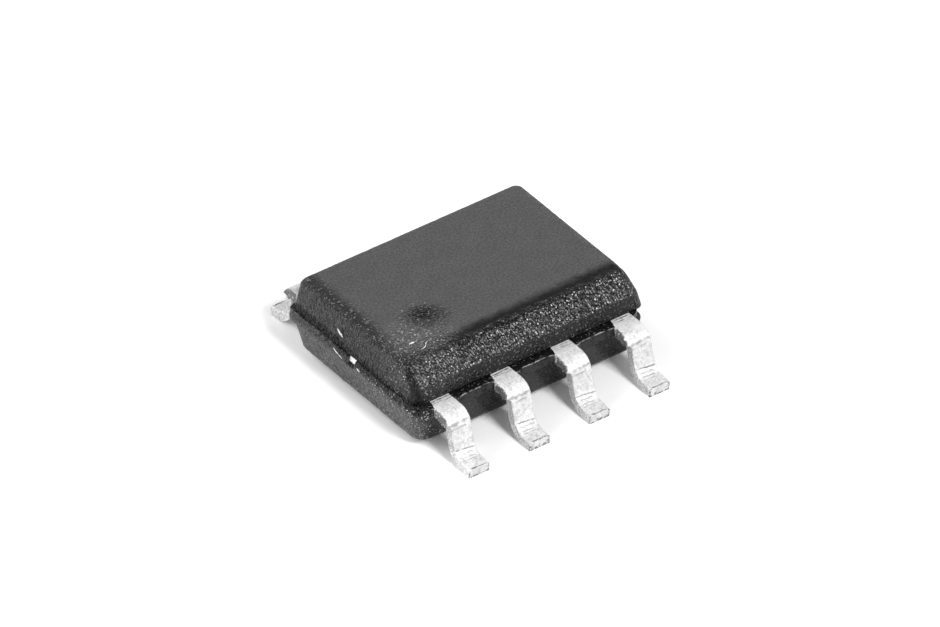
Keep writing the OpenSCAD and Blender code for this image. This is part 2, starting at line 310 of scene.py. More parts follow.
def wear_upper(bm):
    """Fine unevenness on the walls, a soft fall of the top face to the chamfer, and room for flash."""
    bm.normal_update()
    for v in bm.verts:
        co = v.co.copy()
        flat = step(co.z, block_high.z - 0.02 * MM, block_high.z)
        coarse = uneven(co, 0.14 * MM, 1) * 0.005 * MM
        fine = uneven(co, 0.05 * MM, 2) * 0.004 * MM
        v.co -= v.normal * abs(coarse + fine) * (1 - flat)
        near_top = step(co.z, block_high.z - 0.2 * MM, block_high.z)
        v.co.z -= SINK * near_top * (1 - step(co.y, FACE_FRONT - 0.05 * MM, FACE_FRONT + 0.3 * MM))
        v.co.z -= SKIN * near_top


bm = upper_half()
wear_upper(bm)
upper = finish_mesh(bm, "moulded_upper_half")

# %% [markdown]
# ## The lower half
#
# It hangs under the strip and is made in the same way, downwards. The mould's halves were a little
# out of line, so it stands out to the left and to the front.

# %% Levels of the lower half
LOWER_LEVELS = 16
lower_height = STRIP_BOTTOM - block_low.z
lower_ring = lower_height - LOWER_ROUNDING


def lower_inset(depth):
    """How far in the lower wall lies at a depth below the strip."""
    middle = lower_ring * DRAFT + LOWER_ROUNDING / math.cos(math.atan(DRAFT))
    if depth > lower_ring + LOWER_ROUNDING * math.sin(math.atan(DRAFT)):
        return middle - math.sqrt(max(LOWER_ROUNDING ** 2 - (depth - lower_ring) ** 2, 0))
    return depth * DRAFT


def lower_depths():
    """Depths of the rings below the strip: the wall and the rounded edge."""
    wall = [lower_ring * k / LOWER_LEVELS for k in range(1, LOWER_LEVELS + 1)]
    angles = [math.pi / 2 * k / TURN_LEVELS for k in range(1, TURN_LEVELS + 1)]
    return wall + [lower_ring + LOWER_ROUNDING * math.sin(angle) for angle in angles]


print("rings down to the underside:", len(lower_depths()))


# %% Build the lower half
def lower_half():
    bm = bmesh.new()
    edges = rounded_outline(bm, LOWER_LENGTH, LOWER_WIDTH, LOWER_CORNER)
    bmesh.ops.translate(bm, verts=bm.verts, vec=MOULD_OFFSET + Vector((0, 0, STRIP_BOTTOM)))
    insets = [(depth, lower_inset(depth)) for depth in lower_depths()]
    insets += [(lower_height, lower_inset(lower_height) + more * MM) for more in (0.03, 0.1)]
    for depth, inset in insets:
        box = box_around(MOULD_OFFSET, LOWER_LENGTH, LOWER_WIDTH, inset)
        edges = next_ring(bm, edges, box, STRIP_BOTTOM - depth)
    bmesh.ops.contextual_create(bm, geom=edges)
    bm.normal_update()
    # The left end is rougher than the rest, and the flat underside stays where it is
    for v in bm.verts:
        rough = 1 + 1.5 * (1 - step(v.co.x, -2.2 * MM, -1.9 * MM))
        waves = uneven(v.co, 0.2 * MM, 3) * 0.004 * MM + uneven(v.co, 0.05 * MM, 4) * 0.003 * MM
        v.co -= v.normal * abs(waves) * rough * step(v.co.z, block_low.z, block_low.z + 0.01 * MM)
    return bm


lower = finish_mesh(lower_half(), "moulded_lower_half")

# %% [markdown]
# ## The rim
#
# Some resin is squeezed out around the strip where the halves of the mould meet. It is thin, brittle
# and broken off roughly, a little further out beside each lead, and missing from the right front
# corner. In front of the tie bar at the left end the shear has taken a piece out of it.

# %% Sizes of the rim
RIM_LENGTH = LOWER_LENGTH + 2 * END_RIM
RIM_WIDTH = LOWER_WIDTH + 2 * SIDE_RIM
RIM_TOP = STRIP_TOP - 0.006 * MM
RIM_LEVELS = 7
LIP = 0.03 * MM
# Half the width of the notch at the tie bar, and how far it goes in behind the bar's end
NOTCH = 0.125 * MM
NOTCH_DEPTH = 0.07 * MM
# Beyond this circle the right front corner is missing
SHORT_CORNER = Vector((1.93 * MM, -1.6 * MM, 0))
SHORT_RADIUS = 0.43 * MM
bar_end = pad_high.x
print("rim in mm:", round(RIM_LENGTH / MM, 3), "by", round(RIM_WIDTH / MM, 3))


# %% Where the rim broke off
def rim_outline(co, out):
    """How a point of the rim's edge moves to where the resin broke off; out points outwards."""
    side = abs(out.y) > 0.5
    from_lead = abs(((co.x / PITCH) % 1) - 0.5) * PITCH - 0.24 * MM
    ragged = 0.02 * MM * uneven((co.x, co.y, 0), 0.11 * MM, 5) + 0.008 * MM * uneven(co, 0.035 * MM, 6)
    if side:
        return out * (ragged - 0.022 * MM + 0.04 * MM * bump_at(from_lead, 0, 0.09 * MM))
    if co.x < 0 and abs(co.y) < NOTCH:
        return Vector((-(bar_end - NOTCH_DEPTH) - co.x, 0, 0))
    worn = 0.045 * MM * step(co.z, STRIP_BOTTOM + 0.06 * MM, RIM_TOP) if co.x < 0 else 0
    return -out * (abs(ragged) + worn)


def within_short_corner(co):
    """The same point, or the nearest one on the circle where it lies beyond the short corner."""
    away = (co - SHORT_CORNER).to_2d()
    if away.x > 0 > away.y and away.length > SHORT_RADIUS:
        return SHORT_CORNER + away.normalized().to_3d() * SHORT_RADIUS + Vector((0, 0, co.z))
    return co


# %% Build the rim
def rim_plate():
    bm = bmesh.new()
    edges = rounded_outline(bm, RIM_LENGTH, RIM_WIDTH, RIM_CORNER)
    bmesh.ops.translate(bm, verts=bm.verts, vec=MOULD_OFFSET + Vector((0, 0, STRIP_BOTTOM)))
    levels = [STRIP_BOTTOM + (STRIP - LIP) * k / RIM_LEVELS for k in range(1, RIM_LEVELS + 1)]
    rings = [(level, 0) for level in levels]
    rings += [(RIM_TOP - 0.008 * MM, 0.004 * MM), (RIM_TOP, 0.014 * MM), (RIM_TOP, 0.03 * MM)]
    rings += [(RIM_TOP, 0.07 * MM), (RIM_TOP, 0.12 * MM), (RIM_TOP, 0.3 * MM)]
    for level, inset in rings:
        edges = next_ring(bm, edges, box_around(MOULD_OFFSET, RIM_LENGTH, RIM_WIDTH, inset), level)
    bmesh.ops.contextual_create(bm, geom=edges)
    return bm


def break_rim(bm):
    """Breaks the rim's edge off, and marks where its lip is torn and pale."""
    broken = bm.verts.layers.float.new("broken")
    for v in bm.verts:
        x, y = (v.co - MOULD_OFFSET).to_2d()
        inside = min(RIM_LENGTH / 2 - abs(x), RIM_WIDTH / 2 - abs(y))
        out = Vector((math.copysign(1, x), 0, 0))
        if RIM_WIDTH / 2 - abs(y) < RIM_LENGTH / 2 - abs(x):
            out = Vector((0, math.copysign(1, y), 0))
        edge = 1 - step(inside, 0.05 * MM, 0.12 * MM)
        above = step(v.co.z, STRIP_BOTTOM, STRIP_BOTTOM + 0.08 * MM)
        notched = out.y == 0 and x < 0 and abs(v.co.y) < NOTCH
        flaw = uneven((v.co.x, v.co.y, 0), 0.13 * MM, 7) + 0.5 * uneven(v.co, 0.04 * MM, 8)
        lip = bump_at(v.co.z, RIM_TOP - 0.006 * MM, 0.008 * MM)
        lip *= 1 - step(inside, 0.004 * MM, 0.02 * MM)
        v[broken] = lip * step(flaw, -0.3, 0.3) if out.y < 0 else lip * step(flaw, 0.35, 0.6)
        v.co += rim_outline(v.co, out) * (1 if notched and inside < 0.13 * MM else edge * above)
        v.co = within_short_corner(v.co)
        sunk = abs(uneven(v.co, 0.05 * MM, 9)) * 0.014 * MM
        v.co.z -= sunk * edge * step(v.co.z, RIM_TOP - LIP, RIM_TOP)


bm = rim_plate()
break_rim(bm)
rim = finish_mesh(bm, "moulded_rim")

# %% [markdown]
# ## The leads
#
# A lead starts as a flat strip, stamped out of sheet metal. A bar ties it to its neighbours until
# the resin has set, and is then sheared away, which leaves a rough stub on the lead's left side.
# Then a press bends the lead down, and out again into a foot. The mesh is made the same way: a flat
# blank gets its widths, its stub and its tool marks, and one function then bends it. The blank's own
# coordinates are kept as an attribute, so that the finish can follow the metal round the bends.

# %% Sizes of a lead
LEADS = 8
LEADS_A_SIDE = 4
EXIT_WIDTH = 0.4 * MM
LEG_WIDTH = 0.42 * MM
STUB = 0.055 * MM
LEG_ANGLE = math.radians(81)
FOOT_ANGLE = math.radians(6)
STUB_REACH = math.radians(66)
SHOULDER_BEND = 0.1 * MM
FOOT_BEND = 0.29 * MM
FOOT = 0.19 * MM
TOE_FLAT = 0.008 * MM
# The wider head holds the lead in the resin; the heads of the outer leads reach inwards
HEAD_START = -0.72 * MM
HEAD_END = -0.38 * MM
HEAD_WIDTH = 0.56 * MM
OUTER_HEAD_WIDTH = 0.9 * MM
OUTER_HEAD_SHIFT = 0.25 * MM

exit_y = UPPER_WIDTH / 2
toe_y = cad_high.y
toe_z = STRIP * math.cos(FOOT_ANGLE) - TOE_FLAT
foot_middle = Vector((toe_y - FOOT * math.cos(FOOT_ANGLE) + FOOT_BEND * math.sin(FOOT_ANGLE),
                      toe_z + FOOT * math.sin(FOOT_ANGLE) + FOOT_BEND * math.cos(FOOT_ANGLE)))
shoulder_z = STRIP_TOP - SHOULDER_BEND - STRIP
two_bends = SHOULDER_BEND + STRIP + FOOT_BEND
LEG = (shoulder_z - foot_middle.y + two_bends * math.cos(LEG_ANGLE)) / math.sin(LEG_ANGLE)
shoulder_y = foot_middle.x - two_bends * math.sin(LEG_ANGLE) - LEG * math.cos(LEG_ANGLE)

# %% Lengths along the blank
# Where each stretch of the flat blank ends, counted along its middle from the wall of the body
turn_one = (SHOULDER_BEND + STRIP / 2) * LEG_ANGLE
turn_two = (FOOT_BEND + STRIP / 2) * (LEG_ANGLE - FOOT_ANGLE)
AT_BEND = shoulder_y - exit_y
AT_LEG = AT_BEND + turn_one
AT_FOOT_BEND = AT_LEG + LEG
AT_FOOT = AT_FOOT_BEND + turn_two
AT_TOE = AT_FOOT + FOOT
AT_STUB_END = AT_BEND + (SHOULDER_BEND + STRIP / 2) * STUB_REACH
print("blank in mm:", round(AT_TOE / MM, 3), "stub ends at", round(AT_STUB_END / MM, 3))


# %% Bending the blank
def bend(along, depth):
    """Place (outwards, up) of a point of the blank, depth below its upper surface."""
    angle = min(max((along - AT_BEND) / (SHOULDER_BEND + STRIP / 2), 0), LEG_ANGLE)
    radius = SHOULDER_BEND + STRIP - depth
    y = shoulder_y + radius * math.sin(angle)
    z = shoulder_z + radius * math.cos(angle)
    if along < AT_BEND:
        return y + along - AT_BEND, z
    leg = min(max(along - AT_LEG, 0), LEG)
    y += leg * math.cos(LEG_ANGLE)
    z -= leg * math.sin(LEG_ANGLE)
    if along < AT_FOOT_BEND:
        return y, z
    angle = LEG_ANGLE - (min(along, AT_FOOT) - AT_FOOT_BEND) / (FOOT_BEND + STRIP / 2)
    radius = FOOT_BEND + depth
    y = foot_middle.x - radius * math.sin(angle)
    z = foot_middle.y - radius * math.cos(angle)
    foot = max(along - AT_FOOT, 0)
    return y + foot * math.cos(FOOT_ANGLE), z - foot * math.sin(FOOT_ANGLE)


# %% Helper: cutting a blank
# How close a point has to be to a plane, or a place to another, to count as the same
ON_PLANE = 0.000001 * MM
CLOSE = 0.00001 * MM
# Rounding of the blank's edges by the punch, and the size of its faces each way
UPPER_EDGE = 0.028 * MM
LOWER_EDGE = 0.012 * MM
ACROSS_CUT = 0.021 * MM
DEPTH_CUT = 0.024 * MM
LENGTH_CUT = 0.0125 * MM


def cut_at(bm, place, normal):
    """Cuts every face that a plane crosses."""
    geom = list(bm.verts) + list(bm.edges) + list(bm.faces)
    bmesh.ops.bisect_plane(bm, geom=geom, dist=ON_PLANE, plane_co=place, plane_no=normal)


def cut_across(bm, axis, start, end, size):
    """Cuts every face at even distances along an axis."""
    normal = Vector([1.0 if k == axis else 0.0 for k in range(3)])
    count = max(2, round((end - start) / size))
    for k in range(1, count):
        cut_at(bm, normal * (start + (end - start) * k / count), normal)


def long_edges(bm, above):
    """The two long edges of the plain strip on its upper or on its lower surface."""
    edges = [e for e in bm.edges if e.calc_length() > AT_TOE]
    edges = [e for e in edges if (e.verts[0].co.z > -STRIP / 2) == above]
    edges = [e for e in edges if abs(abs(e.verts[0].co.x) - LEG_WIDTH / 2) < CLOSE]
    return [e for e in edges if min(abs(e.verts[0].co.z), abs(e.verts[0].co.z + STRIP)) < CLOSE]


# %% The flat blank
def flat_blank():
    """Strip along +Y with its upper surface at z = 0, its edges rounded by the punch."""
    bm = bmesh.new()
    length = AT_TOE - HEAD_START
    bmesh.ops.create_cube(bm, size=1)
    bmesh.ops.scale(bm, verts=bm.verts, vec=(LEG_WIDTH, length, STRIP))
    bmesh.ops.translate(bm, verts=bm.verts, vec=(0, HEAD_START + length / 2, -STRIP / 2))
    for above, offset in ((True, UPPER_EDGE), (False, LOWER_EDGE)):
        bmesh.ops.bevel(bm, geom=long_edges(bm, above), offset=offset, segments=4, profile=0.5,
                        affect="EDGES", material=-1)
    cut_across(bm, 0, -LEG_WIDTH / 2, LEG_WIDTH / 2, ACROSS_CUT)
    cut_across(bm, 2, -STRIP, 0, DEPTH_CUT)
    for place in (HEAD_END - 0.002 * MM, HEAD_END, 0):
        cut_at(bm, (0, place, 0), (0, 1, 0))
    outside = [e for e in bm.edges if min(v.co.y for v in e.verts) > -CLOSE]
    outside = [e for e in outside if e.calc_length() > AT_TOE / 2]
    bmesh.ops.subdivide_edges(bm, edges=outside, cuts=round(AT_TOE / LENGTH_CUT))
    return bm


blank = flat_blank()
print("blank:", len(blank.verts), "points")

# %% [markdown]
# The tools leave marks on the blank: the clamp that held the leads while the bars were sheared, the
# die at both bends, and the anvil under the foot. Each mark is a shallow groove with a place, a
# slant, a reach across the lead and a depth. They are cut in a little differently on every lead.

# %% Tool marks of a lead
# Place along the lead, slant, left and right end, width and depth, all in mm, and how dark it is
MARKS = (
    (0.035, 0.0, -0.19, 0.2, 0.012, 0.006, 0.8),
    (0.10, 0.02, -0.2, 0.2, 0.011, 0.005, 0.7),
    (0.585, -0.01, -0.26, 0.2, 0.022, 0.012, 0.6),
    (0.645, -0.03, -0.26, 0.1, 0.016, 0.007, 0.5),
    (1.105, 0.05, -0.2, 0.2, 0.016, 0.012, 0.75),
    (1.2, 0.02, -0.14, 0.13, 0.014, 0.007, 0.65),
    (1.3, 0.02, -0.15, 0.12, 0.014, 0.006, 0.55),
    (1.375, 0.01, -0.16, 0.12, 0.013, 0.006, 0.5),
    (1.622, 0.01, -0.14, 0.17, 0.013, 0.010, 1.0),
)
print("tool marks on a lead:", len(MARKS))


def mark_at(co, number):
    """How deep the tool marks are at a point of the blank, and how dark they look."""
    x, y = co.x / MM, co.y / MM
    depth = 0
    dark = 0
    for k, (place, slant, left, right, width, groove, tone) in enumerate(MARKS):
        wander = 0.014 * uneven((x, place, 0), 0.09, number + k) + 0.012 * uneven((x, y, 0), 0.03, k)
        strength = 1 + 0.9 * uneven((x, place, 0), 0.07, number * 3 + k)
        reach = step(x, left - 0.02, left + 0.02) * (1 - step(x, right - 0.02, right + 0.02))
        line = place + slant * x / (EXIT_WIDTH / MM) + wander
        hump = bump_at(y, line, width) * reach * max(strength, 0)
        depth += hump * groove
        dark = max(dark, min(hump, 1) * tone)
    return depth * MM, dark


# %% Sheared sides of a lead
def half_width(co, number):
    """Half the width of a lead at a point of the blank, and how rough the sheared stub is there."""
    depth = -co.z / STRIP
    width = EXIT_WIDTH / 2 if co.y < 0.01 * MM else LEG_WIDTH / 2
    end = AT_STUB_END + 0.02 * MM * (1 - depth) + 0.012 * MM * uneven(co, 0.08 * MM, number)
    if co.x < 0 < co.y:
        stub = step(co.y, -0.05 * MM, 0.3 * MM) * (1 - step(co.y, end - 0.05 * MM, end))
        rough = stub * step(co.y, 0.2 * MM, 0.26 * MM)
        tip = 0.07 * MM * bump_at(co.y, end - 0.03 * MM, 0.025 * MM) * (1 - depth) ** 2
        chips = 0.035 * MM * uneven(co, 0.035 * MM, number)
        chips += 0.015 * MM * uneven(co, 0.08 * MM, number)
        return width + (STUB + tip) * stub + chips * rough, rough
    if co.x > 0:
        width += 0.008 * MM * uneven(co, 0.1 * MM, number + 20) * step(co.y, 0.2 * MM, 0.3 * MM)
    return width, 0


# %% Stamp the blank
def stamp(co, number, head):
    """Where a point of the blank moves, for its width, stub and tool marks, and how dull it is."""
    if co.y <= HEAD_END:
        left, width = head
        return Vector((left + (co.x / LEG_WIDTH + 0.5) * width, co.y, co.z)), 0
    edge = min(abs(co.x) / (LEG_WIDTH / 2), 1)
    depth = -co.z / STRIP
    width, rough = half_width(co, number)
    x = co.x * (1 + (width / (LEG_WIDTH / 2) - 1) * edge ** 6)
    groove, dark = mark_at(co, number)
    upper = 1 - step(depth, 0.05, 0.4)
    wave = 0.004 * MM * uneven((co.x, co.y, 0), 0.1 * MM, number)
    wave += 0.006 * MM * uneven(co, 0.05 * MM, number + 30) * bump_at(co.y, 0.6 * MM, 0.04 * MM)
    z = co.z - (groove + abs(wave)) * upper
    toe = step(co.y, AT_TOE - 0.02 * MM, AT_TOE)
    burr = 0.012 * MM * abs(uneven(co, 0.04 * MM, number + 40)) * (1 + bump_at(depth, 0.1, 0.1))
    # The sheared end is dull where the metal tore, mostly along its lower edge
    low_edge = max(depth, edge - 0.1) + 0.45 * uneven(co, 0.05 * MM, number + 50)
    torn = toe * step(low_edge, 0.7, 1.0)
    ragged = rough * step(edge, 0.93, 0.99) * step(uneven(co, 0.04 * MM, number + 60), -0.6, -0.25)
    return Vector((x, co.y - burr * toe, z)), max(dark * upper, 0.85 * ragged, torn, 0.32 * toe)


# %% Make a lead
def lead_piece(number):
    """A bent lead; 1 to 4 stand in front from left to right, and 5 to 8 behind from right to left."""
    front = number <= LEADS_A_SIDE
    column = number if front else LEADS + 1 - number
    head_width = OUTER_HEAD_WIDTH if column in (1, LEADS_A_SIDE) else HEAD_WIDTH
    to_middle = {1: OUTER_HEAD_SHIFT, LEADS_A_SIDE: -OUTER_HEAD_SHIFT}.get(column, 0)
    bm = blank.copy()
    flat = bm.verts.layers.float_vector.new("flat")
    marked = bm.verts.layers.float.new("marked")
    for v in bm.verts:
        v[flat] = v.co / MM
        stamped, v[marked] = stamp(v.co, number, (to_middle - head_width / 2, head_width))
        y, z = bend(stamped.y, -stamped.z)
        v.co = Vector((stamped.x, min(y, toe_y), max(z, 0)))
    bmesh.ops.scale(bm, verts=bm.verts, vec=(1, -1 if front else 1, 1))
    from_middle = column - (LEADS_A_SIDE + 1) / 2
    bmesh.ops.translate(bm, verts=bm.verts, vec=(from_middle * PITCH, 0, 0))
    return finish_mesh(bm, "lead_%d_plated" % number)


leads = {"lead_%d" % n: lead_piece(n) for n in range(1, LEADS + 1)}

# %% [markdown]
# ## The die pad and its tie bars
#
# The pad carries the die. Its two bars held it in the frame, and their sheared ends are the only
# bits of it that can be seen. A punch tears metal off at a slant, so the end of a bar leans.

# %% Sizes of the die pad
PAD_LENGTH = 2.3 * MM
PAD_WIDTH = 1.9 * MM
PAD_CORNER = 0.03 * MM
BAR_WIDTH = 0.19 * MM
# The size of the faces on a bar's end, and how near to its tip a point counts as part of that end
BAR_CUT = 0.02 * MM
BAR_END = 0.0001 * MM


# %% Build the die pad
def die_pad():
    bm = bmesh.new()
    bmesh.ops.create_cube(bm, size=1)
    bmesh.ops.scale(bm, verts=bm.verts, vec=(PAD_LENGTH, PAD_WIDTH, STRIP))
    edges = [e for e in bm.edges if abs(e.verts[0].co.z - e.verts[1].co.z) > STRIP / 2]
    bmesh.ops.bevel(bm, geom=edges, offset=PAD_CORNER, segments=4, profile=0.5,
                    affect="EDGES", material=-1)
    made = bmesh.ops.create_cube(bm, size=1)["verts"]
    bmesh.ops.scale(bm, verts=made, vec=(pad_high.x - pad_low.x, BAR_WIDTH, STRIP))
    bmesh.ops.translate(bm, verts=bm.verts, vec=(0, 0, STRIP_BOTTOM + STRIP / 2))
    cut_across(bm, 1, -BAR_WIDTH / 2, BAR_WIDTH / 2, BAR_CUT)
    cut_across(bm, 2, STRIP_BOTTOM, STRIP_TOP, BAR_CUT)
    for v in bm.verts:
        if abs(v.co.x) > pad_high.x - BAR_END:
            level = (v.co.z - STRIP_BOTTOM) / STRIP
            lean = 0.035 * step(level, 0.3, 1) + 0.05 * (1 - step(level, 0.1, 0.4))
            lean += 0.008 * abs(uneven(v.co, 0.05 * MM, 3))
            v.co.x -= math.copysign(lean * MM, v.co.x)
    return finish_mesh(bm, "die_pad_and_bars", smooth=False)


pad = die_pad()

# %% [markdown]
# ## Flash
#
# Slivers of resin skin and hairs of metal cling to the broken edges and to the top face. Each one is
# a narrow strip between two points, tapered at its ends, bowed a little and given a thickness.

# %% Places of the slivers
# Two ends, width and bow, in mm
SLIVERS = (
    ((-2.383, 0.5, 1.285), (-2.396, 0.33, 1.213), 0.065, 0.0),
    ((-2.508, 0.47, 0.955), (-2.508, 0.30, 0.90), 0.022, 0.015),
    ((-2.508, 0.32, 0.90), (-2.500, 0.17, 0.83), 0.016, -0.01),
    ((-2.508, -0.24, 0.93), (-2.508, -0.33, 0.90), 0.02, 0.01),
    ((-1.903, -1.0, 1.612), (-1.79, -0.995, 1.612), 0.04, 0.0),
    ((-1.82, -1.24, 1.606), (-1.67, -1.175, 1.610), 0.014, 0.02),
    ((-1.68, -1.18, 1.609), (-1.60, -1.12, 1.612), 0.012, -0.01),
    ((-2.49, -1.60, 0.84), (-2.50, -1.78, 0.93), 0.02, 0.01),
    ((-2.48, -1.82, 0.78), (-2.46, -1.93, 0.86), 0.018, 0.01),
    ((2.28, -1.858, 0.975), (2.215, -1.93, 0.90), 0.035, 0.0),
)
SLIVER_THICKNESS = 0.006 * MM
print("slivers:", len(SLIVERS))


# %% Build the slivers
def slivers():
    bm = bmesh.new()
    for start, end, width, bow in SLIVERS:
        start, end = Vector(start) * MM, Vector(end) * MM
        along = end - start
        made = bmesh.ops.create_grid(bm, x_segments=10, y_segments=1, size=0.5)["verts"]
        on_top = start.z > block_high.z - UPPER_ROUNDING
        out = Vector((0, 0, 1)) if on_top else Vector((start.x, start.y, 0)).normalized()
        across = along.cross(out).normalized()
        for v in made:
            share = v.co.x + 0.5
            taper = math.sin(math.pi * min(max(share, 0.06), 0.97)) ** 0.7
            wander = uneven((share * 5, v.co.y, 0), 1, round(width * 1000)) * 0.25
            sideways = (v.co.y * taper + wander) * width + bow * math.sin(math.pi * share)
            v.co = start + along * share + across * sideways * MM
    bmesh.ops.solidify(bm, geom=bm.faces, thickness=SLIVER_THICKNESS)
    return finish_mesh(bm, "flash_slivers", smooth=False)


flash = slivers()

# %% [markdown]
# ## Materials
#
# Small helpers keep the node trees short. A value that goes to a helper can be a number or the
# output of another node.

# %% Helpers for nodes
def principled(name, colour, roughness, metallic=0.0):
    material = bpy.data.materials.new(name)
    material.use_nodes = True
    shader = material.node_tree.nodes["Principled BSDF"]
    shader.inputs["Base Color"].default_value = (*colour, 1)
    shader.inputs["Roughness"].default_value = roughness
    shader.inputs["Metallic"].default_value = metallic
    return material


def put(material, socket, value):
    if isinstance(value, bpy.types.NodeSocket):
        material.node_tree.links.new(value, socket)
    else:
        socket.default_value = value


def add(material, kind, settings=(), **inputs):
    """Adds a node with its settings, and fills the inputs that are named."""
    made = material.node_tree.nodes.new("ShaderNode" + kind)
    for key, value in dict(settings).items():
        setattr(made, key, value)
    for key, value in inputs.items():
        put(material, made.inputs[key.replace("_", " ")], value)
    return made


def calc(material, operation, a, b=0.0):
    made = add(material, "Math", {"operation": operation})
    put(material, made.inputs[0], a)
    put(material, made.inputs[1], b)
    return made.outputs[0]


# %% Helpers for patterns
def ramp(material, value, low, high, to_low=0.0, to_high=1.0):
    """A smooth ramp from to_low to to_high as the value goes from low to high."""
    made = add(material, "MapRange", {"interpolation_type": "SMOOTHSTEP"}, Value=value, From_Min=low,
               From_Max=high, To_Min=to_low, To_Max=to_high)
    return made.outputs[0]


def mottle(material, vector, scale, detail=2.0):
    return add(material, "TexNoise", Vector=vector, Scale=scale, Detail=detail).outputs["Fac"]


def in_mm(material, stretch=(1, 1, 1)):
    """Object coordinates in millimetres, stretched along the axes."""
    coords = add(material, "TexCoord").outputs["Object"]
    scale = tuple(s / MM for s in stretch)
    return add(material, "Mapping", Vector=coords, Scale=scale).outputs[0]


def relief(material, height, distance):
    bumpy = add(material, "Bump", Height=height, Strength=1.0, Distance=distance)
    put(material, material.node_tree.nodes["Principled BSDF"].inputs["Normal"], bumpy.outputs[0])


def surface(material, key, value):
    put(material, material.node_tree.nodes["Principled BSDF"].inputs[key], value)

# %% [markdown]
# ### Moulding resin
#
# The resin is black epoxy filled with fine glass. Its skin copies the mould, so each part of the
# block has a texture of its own: the top face is finely matt, the chamfer has a coarse glossy grain
# that sparkles, the ends are drawn in fine streaks, and the walls between the leads are smooth.
# Painted maps could tell them apart, but soft masks by place need no images: a mask is 1 on its part
# and 0 elsewhere, and a little noise in the place makes the borders uneven.

# %% Resin: place with uneven borders
resin = principled("moulding_resin", (0.03, 0.03, 0.03), 0.4)
place = in_mm(resin)
drift = calc(resin, "MULTIPLY", calc(resin, "SUBTRACT", mottle(resin, place, 7.0), 0.5), 0.16)
split = add(resin, "SeparateXYZ", Vector=place)
exact_x = split.outputs["X"]
exact_y = split.outputs["Y"]
x = calc(resin, "ADD", exact_x, drift)
y = calc(resin, "ADD", exact_y, drift)
z = calc(resin, "ADD", split.outputs["Z"], calc(resin, "MULTIPLY", drift, 0.3))


# %% Helpers for masks
def both(*masks):
    """Masks multiplied; a number among them makes the result weaker or stronger."""
    result = masks[0]
    for mask in masks[1:]:
        result = calc(resin, "MULTIPLY", result, mask)
    return result


def either(*masks):
    """The largest of the masks."""
    result = masks[0]
    for mask in masks[1:]:
        result = calc(resin, "MAXIMUM", result, mask)
    return result


def between(value, start, low, high, end):
    """1 from low to high, fading to 0 at start and at end."""
    return both(ramp(resin, value, start, low), ramp(resin, value, end, high))


def near(point, far, close):
    """1 close to a point (in mm) and 0 far from it, with an uneven border."""
    away = add(resin, "VectorMath", {"operation": "DISTANCE"}, Vector=place)
    away.inputs[1].default_value = point
    return ramp(resin, calc(resin, "ADD", away.outputs["Value"], drift), far, close)


def weaken(value, mask, least):
    """The value where the mask is 0, and only the least share of it where the mask is 1."""
    return both(value, ramp(resin, mask, 0, 1, 1.0, least))


# %% [markdown]
# The front of the top face is polished where it turns over, and so is its left edge. Both are darkened
# there with painted shade, for the dim overhead that their rounding reflects. The chamfer's grain ends
# at the right corner. The wall under the chamfer is smoother and darker.

# %% Resin: masks of the top, the chamfer and the wall under it
in_front = ramp(resin, y, -1.3, -1.42)
# Painted shade for the dim overhead that the rounded front edge of the top face reflects
painted_front_edge_shade = both(ramp(resin, y, -0.98, -1.3), ramp(resin, z, 1.5, 1.56))
chamfer = both(between(z, 1.25, 1.285, 1.57, 1.61), in_front, ramp(resin, x, 2.34, 2.22))
under_chamfer = both(between(z, 1.0, 1.04, 1.23, 1.29), in_front)
top = both(ramp(resin, z, 1.575, 1.605), ramp(resin, y, -1.36, -1.02))
# The left edge is grained and spotted; its darkening in the colour further down is painted shade
left_edge = both(ramp(resin, x, -1.88, -2.24), ramp(resin, z, 1.53, 1.59))

# %% [markdown]
# The corner by the dimple is worn like old leather, with spots where the resin's filler shows. The
# bowl of the dimple is darkened with painted shade, and its back edge has a thin painted highlight of
# pale specks.

# %% Resin: masks of the worn corner and the dimple
left_corner = near((-2.1, -1.4, 1.5), 1.0, 0.4)
leather = both(near((-1.75, -1.05, 1.62), 0.95, 0.35), ramp(resin, exact_y, -1.42, -1.3))
bowl = (DIMPLE.x / MM, DIMPLE.y / MM - 0.01, block_high.z / MM)
dimple = near(bowl, 0.66, 0.18)
# A thin ring at the back edge of the bowl, which carries its painted highlight
painted_bowl_highlight = both(near(bowl, 0.5, 0.44), calc(resin, "SUBTRACT", 1.0, near(bowl, 0.42, 0.36)))
painted_bowl_highlight = both(painted_bowl_highlight, ramp(resin, exact_y, -0.4, -0.2))

# %% [markdown]
# The corner line between the left end and the front is a dark polished ridge. Over the chamfer it
# moves back with the slope, so the height goes into its mask. The ends are streaked. The mould parts
# at the ledge in front and at the seam of the left end. Both lie in the dark corner at the foot of the
# upper half and get painted shade, and the seam rises backwards.

# %% Resin: masks of the ends, the corner line and the seam
# The height in mm where the chamfer starts, and how far both walls together move in per mm above it
CHAMFER_START = (block_high.z - CHAMFER) / MM
CORNER_LEAN = 1.0 + DRAFT
ends = ramp(resin, calc(resin, "ABSOLUTE", x), 2.2, 2.3)
upper_end = both(ends, ramp(resin, z, 0.97, 1.0))
over_start = calc(resin, "MAXIMUM", calc(resin, "SUBTRACT", z, CHAMFER_START), 0.0)
slope_rise = calc(resin, "MULTIPLY", over_start, CORNER_LEAN)
corner = calc(resin, "SUBTRACT", calc(resin, "ADD", exact_x, exact_y), slope_rise)
corner_line = both(ramp(resin, corner, -4.06, -4.11), ramp(resin, z, 1.0, 1.02))
low_corner = both(ramp(resin, z, 1.02, 0.95), ramp(resin, x, -1.8, -2.0), ramp(resin, y, 0.2, -0.9))
low_end = both(ramp(resin, x, -2.2, -2.3), ramp(resin, z, 0.9, 0.84))
